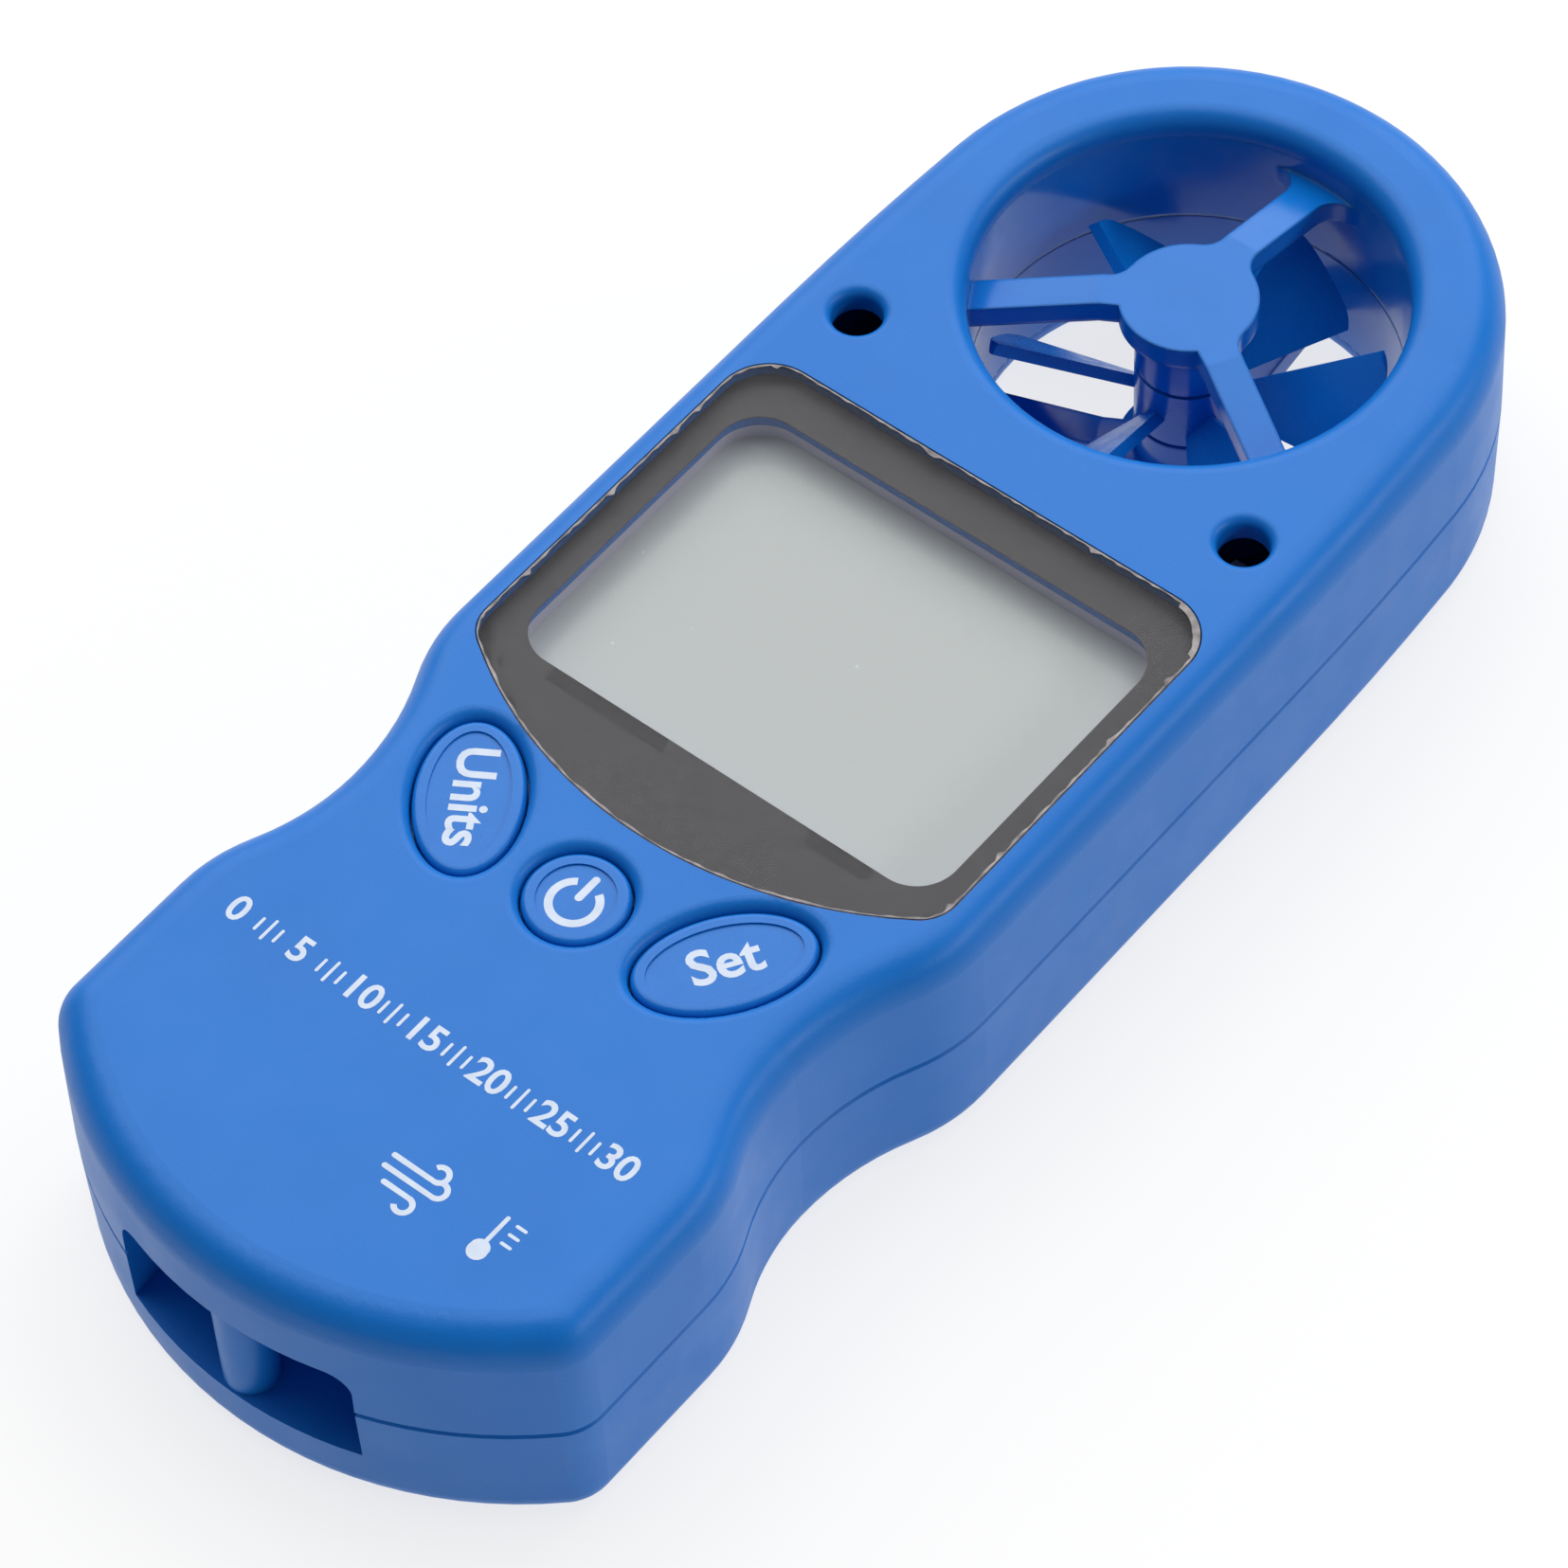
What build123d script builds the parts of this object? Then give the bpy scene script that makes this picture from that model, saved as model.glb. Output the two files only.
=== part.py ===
"""Handheld weather meter with a vane impeller in its head, a display and three keys.

The meter lies on its back: +Z is out of the face, +Y points to the vane head, and the
origin is the middle of the back, on the surface it lies on.  All sizes are millimetres.
"""

from math import asin, atan2, cos, degrees, hypot, radians, sin, sqrt
import os

from build123d import *

os.makedirs("parts", exist_ok=True)

# ---------------------------------------------------------------- case
body_length = 128.2
body_width = 47.0
body_thickness = 21.0
parting_height = 10.3           # where the two shells meet
wall = 2.0
draft_angle = 1.0
front_edge_radius = 3.0
rear_edge_radius = 2.0
seam_chamfer = 0.25             # small groove that shows where the shells meet
cheek_flare = 0.6               # how much wider the body is than the head circle, each side
cheek_drop = 18.0               # from the vane axis to where the sides become straight
waist_inset = 3.6               # how far each side steps in at the keys
foot_inset = 0.4                # how far each side of the foot stays inside the body width
shoulder_rise = 12.48           # from the oval keys up to the end of the straight sides
waist_turn = 26.0               # angle that each curve of the waist turns
shoulder_radius = 14.0
hip_radius = 13.6
foot_radius = body_width * 31.5 / 47   # the curved lower end bows in step with the width
foot_corner_radius = 4.0

# ---------------------------------------------------------------- vane duct and impeller
throat_radius = 16.0
throat_lip_radius = 1.6
sleeve_wall = 1.2
guard_arms = 3
guard_arm_width = 2.8
guard_arm_angle = 90.0          # the first arm points to the head end
guard_thickness = 1.9
guard_recess = 1.5              # hub face below the case face
guard_droop = throat_radius * 2.3 / 16  # how far an arm falls on its way to the sleeve
guard_hub_flat = throat_radius * 6.5 / 16  # radius where an arm starts to fall
guard_hub_radius = 5.1
guard_root_radius = 2.0         # fillet between hub and arm
guard_wall_radius = 1.0         # fillet between arm and sleeve
cup_radius = 3.9
impeller_gap = 0.35             # axial running gap at each side of the impeller hub
impeller_low = 7.4
impeller_high = 12.65
blade_count = 6
blade_angle = 23.5              # middle of the first blade
blade_low = 6.9
blade_high = 14.2
blade_tip_gap = 1.5
blade_thickness = 0.9
blade_root_pitch = 47.0
blade_tip_pitch = 45.0
blade_corner_radius = 1.8
blade_root_bury = 0.7           # how far a blade starts inside the hub
blade_end_spare = 0.6           # loft beyond the tip circle, trimmed off
blade_hub_low_inset = 0.9       # blade root above the lower end of the hub
blade_hub_high_inset = 2.75     # blade root below the upper end of the hub
hub_radius = 3.9
shaft_radius = 0.5
shaft_overlap = 1.8             # how far the shaft reaches into a bearing
bearing_radius = 1.6
bearing_length = 2.6
running_clearance = 0.04
magnet_radius = 3.0
magnet_bore = 1.0
magnet_thickness = 1.4
sensor_width = 1.1
sensor_length = 2.6
sensor_height = 1.5
sensor_offset = 2.7             # from the vane axis, over the magnet ring
lead_width = 1.2
lead_thickness = 0.5
lead_corner_gap = 1.0           # from the sleeve to the lead's corner
lead_vent_gap = 1.5             # from a vent's middle to the lead's end at the board

# ---------------------------------------------------------------- sensor vents
vent_radius = 1.9
vent_lip_radius = 0.8
vent_margin = 6.2               # from the side of the body
vent_drop = 0.5                 # below the lower edge of the throat

# ---------------------------------------------------------------- display
window_gap = 7.35               # from the throat to the window
window_height = 38.32
window_margin = 2.8             # from the side of the body
window_corner_radius = 4.0
window_low_corner_radius = 3.0
window_bottom_radius = 34.5
window_clearance = 0.12
film_thickness = 0.1
lens_thickness = 1.0
mask_thickness = 0.1
tape_thickness = 0.2
tape_width = 1.5
seat_thickness = 1.2            # ledge under the window
seat_margin = 0.4               # ledge beyond the window
view_side_border = 2.2          # printed border beside the clear area
view_top_border = 3.6
view_height = 26.7
view_corner_radius = 3.3
lcd_border = 0.9                # glass beyond the clear area
lcd_thickness = 2.6
holder_lip = 1.2
holder_wall = 0.8
zebra_width = 2.0
fit_clearance = 0.1

# ---------------------------------------------------------------- keys
key_clearance = 0.15
key_dish_radius = 0.9           # rounding of the face where it falls to a key
key_flange = 0.6
key_flange_thickness = 0.8
key_drop = 0.35                 # top of a key below the face
key_travel = 0.3
key_rim = 0.5
key_dish = 0.15
power_key_radius = 3.8
power_key_drop = 6.43           # below the window
oval_key_long = 6.5
oval_key_short = 3.92
oval_key_drop = 4.41
oval_key_side = 11.3
oval_key_tilt = 55.0
switch_size = 6.0
stem_length = 1.0               # key stem below the flange
switch_height = 3.4
plunger_radius = 1.6
plunger_clearance = 0.05
plunger_stand = 0.7             # plunger above its switch body
plunger_depth = 1.2
stem_radius = 1.4

# ---------------------------------------------------------------- board and what is on it
board_thickness = 1.6
board_side_gap = 1.4            # from the board to the inner wall at the waist
board_end_margin = 9.1          # board beyond the power key's middle
board_sleeve_gap = 1.8          # from the duct sleeve to the board
ear_root = 1.0                  # how far an ear starts inside the board
ear_width = 5.8
chip_size = 10.0
chip_height = 1.5
crystal_radius = 1.0
crystal_length = 6.0
capacitor_radius = 2.0
capacitor_height = 3.0
thermistor_radius = 1.2
thermistor_height = 3.0
humidity_size = 5.0
humidity_height = 1.6

# ---------------------------------------------------------------- screws
boss_radius = 2.3
case_screw_radius = 1.0
case_screw_head_radius = 1.9
case_screw_head_height = 1.4
case_screw_depth = 3.0          # head seat above the back
case_screw_length = 11.0
screw_recess_clearance = 0.2
case_screw_side = 4.7           # from the side of the body
foot_screw_rise = 15.6          # above the lower end
foot_screw_side = 5.9
case_screw_window_gap = 1.55    # upper screws above the window
case_screw_bore_spare = 0.5     # bore beyond the end of a case screw
board_screw_bore_spare = 0.4
board_post_radius = 1.8
board_screw_radius = 0.8
board_screw_head_radius = 1.6
board_screw_head_height = 0.9
board_screw_length = 5.0
board_screw_side = 14.0
board_screw_low_side = 13.0
board_screw_edge = 2.4          # from the lower end of the board
drive_slot_width = 0.5
drive_slot_depth = 0.5

# ---------------------------------------------------------------- battery
cell_radius = 10.0
cell_thickness = 3.2
cell_cap_radius = 8.7
cell_cap_height = 0.4
cell_clearance = 0.3
cell_rise = 28.1                # cell centre above the lower end
tub_wall = 1.2
door_radius = 12.2
door_clearance = 0.15
door_thickness = 1.9
door_inset = 0.15
door_tab_reach = 1.6
door_tab_thickness = 0.8
door_tab_angle = 40.0
door_turn = 45.0
notch_play = 2.0                # a notch is this many degrees wider than its tab
door_slot_width = 1.8
door_slot_depth = 0.8
door_slot_length = 14.0
contact_thickness = 0.3
contact_width = 3.0
contact_rise = 0.6              # space between the cell and the tub's roof
contact_leg_inset = 3.0         # inner contact's leg inside the cell's rim
contact_rim_gap = 0.05          # rim contact beside the cell

# ---------------------------------------------------------------- strap recess
strap_half_width = 10.2
strap_low = 5.0
strap_high = 14.5
strap_depth = 6.5
strap_corner_radius = 2.0
strap_wall = 1.2
strap_post_radius = 2.0
strap_post_inset = 0.25

# ---------------------------------------------------------------- places that follow
front_height = body_thickness - parting_height
half_width = body_width / 2
half_length = body_length / 2
head_radius = half_width - cheek_flare
vane_y = half_length - head_radius
cheek_radius = (half_width**2 + cheek_drop**2 - head_radius**2) / (2 * cheek_flare)
cheek_turn = degrees(asin(cheek_drop / (cheek_radius - head_radius)))
window_top = vane_y - throat_radius - window_gap
window_bottom = window_top - window_height
window_half = half_width - window_margin
power_key_y = window_bottom - power_key_drop
oval_key_y = window_bottom - oval_key_drop
waist_half = half_width - waist_inset
foot_half = half_width - foot_inset
side_end = oval_key_y + shoulder_rise
curve_rise = 1 - cos(radians(waist_turn))
hollow_radius = waist_inset / curve_rise - shoulder_radius
flare_radius = (foot_half - waist_half) / curve_rise - hip_radius
inner_face = body_thickness - wall
seat_top = body_thickness - film_thickness - lens_thickness - mask_thickness - tape_thickness
seat_low = seat_top - seat_thickness
view_half = window_half - view_side_border
view_top = window_top - view_top_border
view_bottom = view_top - view_height
lcd_half = view_half + lcd_border
lcd_top = view_top + lcd_border * 2
lcd_bottom = view_bottom - lcd_border * 3
lcd_mid = (lcd_top + lcd_bottom) / 2
lcd_high = seat_low - holder_lip
lcd_low = lcd_high - lcd_thickness
key_top = body_thickness - key_drop
flange_top = inner_face - fit_clearance
flange_low = flange_top - key_flange_thickness
board_top = flange_low - stem_length - plunger_stand - switch_height
board_low = board_top - board_thickness
board_half = waist_half - wall - board_side_gap
board_end = power_key_y - board_end_margin
board_head = vane_y - throat_radius - sleeve_wall - board_sleeve_gap
vent_x = half_width - vent_margin
vent_y = vane_y - throat_radius - vent_drop
case_screw_x = half_width - case_screw_side
case_screw_y = window_top + case_screw_window_gap
foot_screw_x = foot_half - foot_screw_side
foot_screw_y = foot_screw_rise - half_length
cell_y = cell_rise - half_length
cell_low = door_thickness + door_inset + fit_clearance
cell_high = cell_low + cell_thickness
tub_roof = cell_high + contact_rise
tub_radius = cell_radius + cell_clearance
sleeve_radius = throat_radius + sleeve_wall
impeller_radius = throat_radius - blade_tip_gap
strap_back = strap_depth - half_length
strap_post_y = strap_post_radius + strap_post_inset - half_length


def put_out(piece, label):
    """Name a finished piece and write its file."""
    piece.label = label
    export_step(piece, f"parts/{label}.step")


# ---------------------------------------------------------------- outlines
def low_corner(half, bottom, bottom_radius, corner_radius):
    """Start height and turn of the corner arc between a straight side and a curved lower end."""
    across = half - corner_radius
    down = sqrt((bottom_radius - corner_radius) ** 2 - across**2)
    return bottom + bottom_radius - down, degrees(atan2(down, across))


with BuildSketch() as case_outline:
    with BuildLine():
        corner_y, corner_turn = low_corner(foot_half, -half_length, foot_radius, foot_corner_radius)
        head = JernArc((0, half_length), (-1, 0), head_radius, 90 - cheek_turn)
        cheek = JernArc(head @ 1, head % 1, cheek_radius, cheek_turn)
        side = Line(cheek @ 1, (-half_width, side_end))
        shoulder = JernArc(side @ 1, (0, -1), shoulder_radius, waist_turn)
        hollow = JernArc(shoulder @ 1, shoulder % 1, hollow_radius, -waist_turn)
        flare = JernArc(hollow @ 1, (0, -1), flare_radius, -waist_turn)
        hip = JernArc(flare @ 1, flare % 1, hip_radius, waist_turn)
        foot_side = Line(hip @ 1, (-foot_half, corner_y))
        corner = JernArc(foot_side @ 1, (0, -1), foot_corner_radius, corner_turn)
        JernArc(corner @ 1, corner % 1, foot_radius, 90 - corner_turn)
        mirror(about=Plane.YZ)
    make_face()

with BuildSketch() as window_outline:
    with BuildLine():
        corner_y, corner_turn = low_corner(
            window_half, window_bottom, window_bottom_radius, window_low_corner_radius
        )
        top_edge = Line((0, window_top), (window_corner_radius - window_half, window_top))
        top_corner = JernArc(top_edge @ 1, (-1, 0), window_corner_radius, 90)
        side_edge = Line(top_corner @ 1, (-window_half, corner_y))
        corner = JernArc(side_edge @ 1, (0, -1), window_low_corner_radius, corner_turn)
        JernArc(corner @ 1, corner % 1, window_bottom_radius, 90 - corner_turn)
        mirror(about=Plane.YZ)
    make_face()

with BuildSketch() as view_outline:
    with Locations((0, (view_top + view_bottom) / 2)):
        RectangleRounded(2 * view_half, view_height, view_corner_radius)

with BuildSketch() as strap_mouth:
    with Locations((0, (strap_low + strap_high) / 2)):
        Rectangle(2 * strap_half_width, strap_high - strap_low)
    fillet(strap_mouth.vertices().group_by(Axis.Y)[-1], strap_corner_radius)

key_places = {
    "units": (-oval_key_side, oval_key_y),
    "power": (0, power_key_y),
    "set": (oval_key_side, oval_key_y),
}
oval_key_tilts = {"units": 180 - oval_key_tilt, "set": oval_key_tilt}


def key_outline(name, grow):
    """Plan of one key, grown by an amount: a disc for power, ovals beside it."""
    with BuildSketch() as plan:
        with Locations(key_places[name]):
            if name == "power":
                Circle(power_key_radius + grow)
            else:
                Ellipse(
                    oval_key_long + grow, oval_key_short + grow, rotation=oval_key_tilts[name]
                )
    return plan.sketch


case_bosses = [
    (case_screw_x, case_screw_y),
    (-case_screw_x, case_screw_y),
    (foot_screw_x, foot_screw_y),
    (-foot_screw_x, foot_screw_y),
]
board_screws = [
    (board_screw_side, case_screw_y),
    (-board_screw_side, case_screw_y),
    (board_screw_low_side, board_end + board_screw_edge),
    (-board_screw_low_side, board_end + board_screw_edge),
]

def top_rims(shell, longest=1000):
    """Edges of the holes in a shell's highest face, up to a length."""
    face = shell.faces().sort_by(Axis.Z)[-1]
    return ShapeList(e for w in face.inner_wires() for e in w.edges() if e.length < longest)


# ---------------------------------------------------------------- front shell
with BuildPart() as front_shell:
    with BuildSketch(Plane.XY.offset(parting_height)):
        add(case_outline.sketch)
    extrude(amount=front_height, taper=draft_angle)
    fillet(front_shell.faces().sort_by(Axis.Z)[-1].edges(), front_edge_radius)
    chamfer(front_shell.faces().sort_by(Axis.Z)[0].edges(), seam_chamfer)
    # throat, vents and key holes, each with its rounded rim
    with BuildSketch(Plane.XY.offset(parting_height)):
        with Locations((0, vane_y)):
            Circle(throat_radius)
    extrude(amount=front_height, mode=Mode.SUBTRACT)
    fillet(top_rims(front_shell), throat_lip_radius)
    with BuildSketch(Plane.XY.offset(parting_height)):
        with Locations((vent_x, vent_y), (-vent_x, vent_y)):
            Circle(vent_radius)
    extrude(amount=front_height, mode=Mode.SUBTRACT)
    fillet(top_rims(front_shell, 8 * vent_radius), vent_lip_radius)
    with BuildSketch(Plane.XY.offset(parting_height)):
        for key_name in key_places:
            add(key_outline(key_name, key_clearance))
    extrude(amount=front_height, mode=Mode.SUBTRACT)
    key_rims = top_rims(front_shell, 9 * oval_key_long) - top_rims(front_shell, 9 * vent_radius)
    fillet(key_rims, key_dish_radius)
    # the hollow inside
    with BuildSketch(Plane.XY.offset(parting_height)):
        add(case_outline.sketch)
        offset(amount=-wall)
    extrude(amount=front_height - wall, mode=Mode.SUBTRACT)
    # the ledge that carries the window
    with BuildSketch(Plane.XY.offset(seat_low)):
        add(window_outline.sketch)
        offset(amount=seat_margin)
        with BuildSketch(mode=Mode.INTERSECT):
            add(case_outline.sketch)
            offset(amount=-wall / 2)
    extrude(amount=inner_face - seat_low + wall / 4)
    # locating rib for the duct sleeve
    with BuildSketch(Plane.XY.offset(inner_face - wall / 2)):
        with Locations((0, vane_y)):
            Circle(sleeve_radius + fit_clearance + wall / 2)
            Circle(sleeve_radius + fit_clearance, mode=Mode.SUBTRACT)
    extrude(amount=wall / 2)
    # bosses for the case screws and posts for the board
    with BuildSketch(Plane.XY.offset(parting_height)):
        with Locations(*case_bosses):
            Circle(boss_radius)
    extrude(amount=front_height - wall / 2)
    with BuildSketch(Plane.XY.offset(board_top)):
        with Locations(*board_screws):
            Circle(board_post_radius)
    extrude(amount=inner_face - board_top)
    with BuildSketch(Plane.XY.offset(parting_height)):
        with Locations(*case_bosses):
            Circle(case_screw_radius)
    extrude(
        amount=case_screw_depth + case_screw_length - parting_height + case_screw_bore_spare,
        mode=Mode.SUBTRACT,
    )
    with BuildSketch(Plane.XY.offset(board_top)):
        with Locations(*board_screws):
            Circle(board_screw_radius)
    extrude(
        amount=board_screw_length - board_thickness + board_screw_bore_spare,
        mode=Mode.SUBTRACT,
    )
    # box round the strap recess, its mouth, and the upper half of its post
    with BuildSketch(Plane.XY.offset(parting_height)):
        add(case_outline.sketch)
        offset(amount=-wall / 2)
        with Locations((0, strap_back + strap_wall)):
            Rectangle(
                2 * (strap_half_width + strap_wall),
                2 * half_length,
                align=(Align.CENTER, Align.MAX),
                mode=Mode.INTERSECT,
            )
    extrude(amount=strap_high + strap_wall - parting_height)
    with BuildSketch(Plane.XZ.offset(-strap_back)):
        add(strap_mouth.sketch)
    extrude(amount=strap_depth + wall, mode=Mode.SUBTRACT)
    with BuildSketch(Plane.XY.offset(parting_height)):
        with Locations((0, strap_post_y)):
            Circle(strap_post_radius)
    extrude(amount=strap_high + strap_wall - parting_height)
    # the window's recess and its clear opening
    with BuildSketch(Plane.XY.offset(seat_top)):
        add(window_outline.sketch)
        offset(amount=window_clearance)
    extrude(amount=wall, mode=Mode.SUBTRACT)
    with BuildSketch(Plane.XY.offset(seat_low - wall)):
        add(view_outline.sketch)
        offset(amount=lcd_border / 2)
    extrude(amount=2 * wall, mode=Mode.SUBTRACT)
put_out(front_shell.part, "front_shell")

# ---------------------------------------------------------------- rear shell
tab_top = wall + fit_clearance + door_tab_thickness
tab_room = tab_top + fit_clearance
tab_radius = door_radius + door_tab_reach
tab_room_radius = tab_radius + door_clearance
roof_top = tub_roof + tub_wall
contact_leg_y = cell_y + cell_radius - contact_leg_inset
rim_contact_y = cell_y + cell_radius + contact_rim_gap


def ring_sector(inner, outer, angle):
    """A piece of a ring, centred on +X."""
    with BuildSketch() as sector:
        with BuildLine():
            outer_arc = CenterArc((0, 0), outer, -angle / 2, angle)
            inner_arc = CenterArc((0, 0), inner, -angle / 2, angle)
            Line(inner_arc @ 0, outer_arc @ 0)
            Line(inner_arc @ 1, outer_arc @ 1)
        make_face()
    return sector.sketch


with BuildPart() as rear_shell:
    with BuildSketch(Plane.XY.offset(parting_height)):
        add(case_outline.sketch)
    extrude(amount=-parting_height, taper=draft_angle)
    fillet(rear_shell.faces().sort_by(Axis.Z)[0].edges(), rear_edge_radius)
    chamfer(rear_shell.faces().sort_by(Axis.Z)[-1].edges(), seam_chamfer)
    with BuildSketch():
        with Locations((0, vane_y)):
            Circle(throat_radius)
    extrude(amount=parting_height, mode=Mode.SUBTRACT)
    rear_rim = rear_shell.faces().sort_by(Axis.Z)[0].inner_wires()[0].edges()
    fillet(rear_rim, throat_lip_radius)
    # the hollow inside
    with BuildSketch(Plane.XY.offset(wall)):
        add(case_outline.sketch)
        offset(amount=-wall)
    extrude(amount=parting_height - wall, mode=Mode.SUBTRACT)
    # locating rib for the duct sleeve
    with BuildSketch(Plane.XY.offset(wall)):
        with Locations((0, vane_y)):
            Circle(sleeve_radius + fit_clearance + wall / 2)
            Circle(sleeve_radius + fit_clearance, mode=Mode.SUBTRACT)
    extrude(amount=wall / 2)
    # screw bosses
    with BuildSketch(Plane.XY.offset(wall / 2)):
        with Locations(*case_bosses):
            Circle(boss_radius)
    extrude(amount=parting_height - wall / 2)
    with BuildSketch():
        with Locations(*case_bosses):
            Circle(case_screw_head_radius + screw_recess_clearance)
    extrude(amount=case_screw_depth, mode=Mode.SUBTRACT)
    with BuildSketch():
        with Locations(*case_bosses):
            Circle(case_screw_radius + fit_clearance)
    extrude(amount=parting_height, mode=Mode.SUBTRACT)
    # battery tub: wide where the door's tabs turn, narrow round the cell, closed above
    with BuildSketch(Plane.XY.offset(wall / 2)):
        with Locations((0, cell_y)):
            Circle(tab_room_radius + tub_wall)
    extrude(amount=tab_room + tub_wall - wall / 2)
    with BuildSketch(Plane.XY.offset(wall)):
        with Locations((0, cell_y)):
            Circle(tub_radius + tub_wall)
    extrude(amount=roof_top - wall)
    with BuildSketch(Plane.XY.offset(wall)):
        with Locations((0, cell_y)):
            Circle(tab_room_radius)
    extrude(amount=tab_room - wall, mode=Mode.SUBTRACT)
    with BuildSketch(Plane.XY.offset(wall)):
        with Locations((0, cell_y)):
            Circle(tub_radius)
    extrude(amount=tub_roof - wall, mode=Mode.SUBTRACT)
    # door opening with the notches that let the tabs in
    with BuildSketch():
        with Locations((0, cell_y)):
            Circle(door_radius + door_clearance)
            with PolarLocations(0, 2, start_angle=door_turn):
                add(ring_sector(door_radius - wall, tab_room_radius, door_tab_angle + notch_play))
    extrude(amount=wall, mode=Mode.SUBTRACT)
    # slots that the contacts pass through
    with BuildSketch(Plane.XY.offset(tub_roof)):
        with Locations((0, contact_leg_y + contact_thickness / 2)):
            Rectangle(contact_width + 4 * fit_clearance, contact_thickness + 4 * fit_clearance)
    extrude(amount=2 * tub_wall, mode=Mode.SUBTRACT)
    with BuildSketch(Plane.XY.offset(tab_room)):
        with Locations((0, rim_contact_y - 2 * fit_clearance)):
            Rectangle(
                contact_width + 4 * fit_clearance,
                contact_thickness + 4 * fit_clearance,
                align=(Align.CENTER, Align.MIN),
            )
    extrude(amount=parting_height - tab_room, mode=Mode.SUBTRACT)
    # box round the strap recess, its mouth, and the lower half of its post
    with BuildSketch(Plane.XY.offset(strap_low - strap_wall)):
        add(case_outline.sketch)
        offset(amount=-wall / 2)
        with Locations((0, strap_back + strap_wall)):
            Rectangle(
                2 * (strap_half_width + strap_wall),
                2 * half_length,
                align=(Align.CENTER, Align.MAX),
                mode=Mode.INTERSECT,
            )
    extrude(amount=parting_height - strap_low + strap_wall)
    with BuildSketch(Plane.XZ.offset(-strap_back)):
        add(strap_mouth.sketch)
    extrude(amount=strap_depth + wall, mode=Mode.SUBTRACT)
    with BuildSketch(Plane.XY.offset(strap_low - strap_wall)):
        with Locations((0, strap_post_y)):
            Circle(strap_post_radius)
    extrude(amount=parting_height - strap_low + strap_wall)
put_out(rear_shell.part, "rear_shell")


# ---------------------------------------------------------------- duct halves
def arm_layer(side, face_height, outer_skin, inner_skin):
    """A turned layer that follows the arms, between two depths below their outer face."""
    end = throat_radius + sleeve_wall / 2
    outer = face_height - outer_skin
    inner = face_height - inner_skin
    axis_plane = Plane(origin=(0, vane_y, parting_height), x_dir=(1, 0, 0), z_dir=(0, -side, 0))
    with BuildPart() as layer:
        with BuildSketch(axis_plane):
            with BuildLine():
                Polyline(
                    (0, outer),
                    (guard_hub_flat, outer),
                    (end, outer - guard_droop),
                    (end, inner - guard_droop),
                    (guard_hub_flat, inner),
                    (0, inner),
                    close=True,
                )
            make_face()
        revolve(axis=Axis((0, vane_y, 0), (0, 0, 1)))
    return layer.part


def duct_half(side, shell_height, cup_height):
    """A sleeve with three arms that hold a cup for a bearing on the vane axis."""
    seam_plane = Plane(origin=(0, vane_y, parting_height), x_dir=(1, 0, 0), z_dir=(0, 0, side))
    face_height = shell_height - guard_recess
    with BuildPart() as half:
        with BuildSketch(seam_plane) as plan:
            Circle(sleeve_radius)
            Circle(throat_radius, mode=Mode.SUBTRACT)
            with PolarLocations(0, guard_arms, start_angle=side * guard_arm_angle):
                Rectangle(
                    throat_radius + sleeve_wall / 2,
                    guard_arm_width,
                    align=(Align.MIN, Align.CENTER),
                )
            Circle(guard_hub_radius)
            corners = plan.vertices().sort_by_distance((0, vane_y, parting_height))
            fillet(corners[: 2 * guard_arms], guard_root_radius)
            corners = plan.vertices().filter_by(
                lambda v: abs(hypot(v.X, v.Y - vane_y) - throat_radius) < fit_clearance
            )
            fillet(corners, guard_wall_radius)
        extrude(amount=shell_height)
        add(arm_layer(side, face_height, 0, guard_thickness), mode=Mode.INTERSECT)
        with BuildSketch(seam_plane):
            Circle(sleeve_radius)
            Circle(throat_radius, mode=Mode.SUBTRACT)
        extrude(amount=shell_height - wall)
        with BuildSketch(seam_plane.offset(cup_height)):
            Circle(cup_radius)
        extrude(amount=face_height - cup_height - guard_thickness / 2)
        with BuildSketch(seam_plane.offset(cup_height)):
            Circle(bearing_radius)
        extrude(amount=bearing_length, mode=Mode.SUBTRACT)
    return half.part


def bearing(side, cup_height):
    """A bush with a blind bore for the end of the shaft."""
    seam_plane = Plane(origin=(0, vane_y, parting_height), x_dir=(1, 0, 0), z_dir=(0, 0, side))
    with BuildPart() as bush:
        with BuildSketch(seam_plane.offset(cup_height)):
            Circle(bearing_radius)
        extrude(amount=bearing_length)
        with BuildSketch(seam_plane.offset(cup_height)):
            Circle(shaft_radius + running_clearance)
        extrude(amount=shaft_overlap + fit_clearance, mode=Mode.SUBTRACT)
    return bush.part


front_cup = impeller_high + impeller_gap
rear_cup = impeller_low - impeller_gap
front_guard = duct_half(1, front_height, front_cup - parting_height)
put_out(front_guard, "front_guard")
put_out(bearing(1, front_cup - parting_height), "front_bearing")
put_out(bearing(-1, parting_height - rear_cup), "rear_bearing")

# the speed sensor beside the rear bearing, and its flat lead along one arm to the board
lead_angle = radians(guard_arm_angle - 360 / guard_arms)
lead_plane = Plane(origin=(0, vane_y, 0), x_dir=(cos(lead_angle), sin(lead_angle), 0))
lead_exit = guard_recess + guard_droop
lead_corner_radius = sleeve_radius + lead_corner_gap
lead_corner_x = lead_corner_radius * cos(lead_angle)
lead_corner_y = vane_y + lead_corner_radius * sin(lead_angle)
lead_board_y = vent_y + lead_vent_gap
pickup_high = rear_cup - fit_clearance
pickup_low = pickup_high - sensor_height

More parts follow.
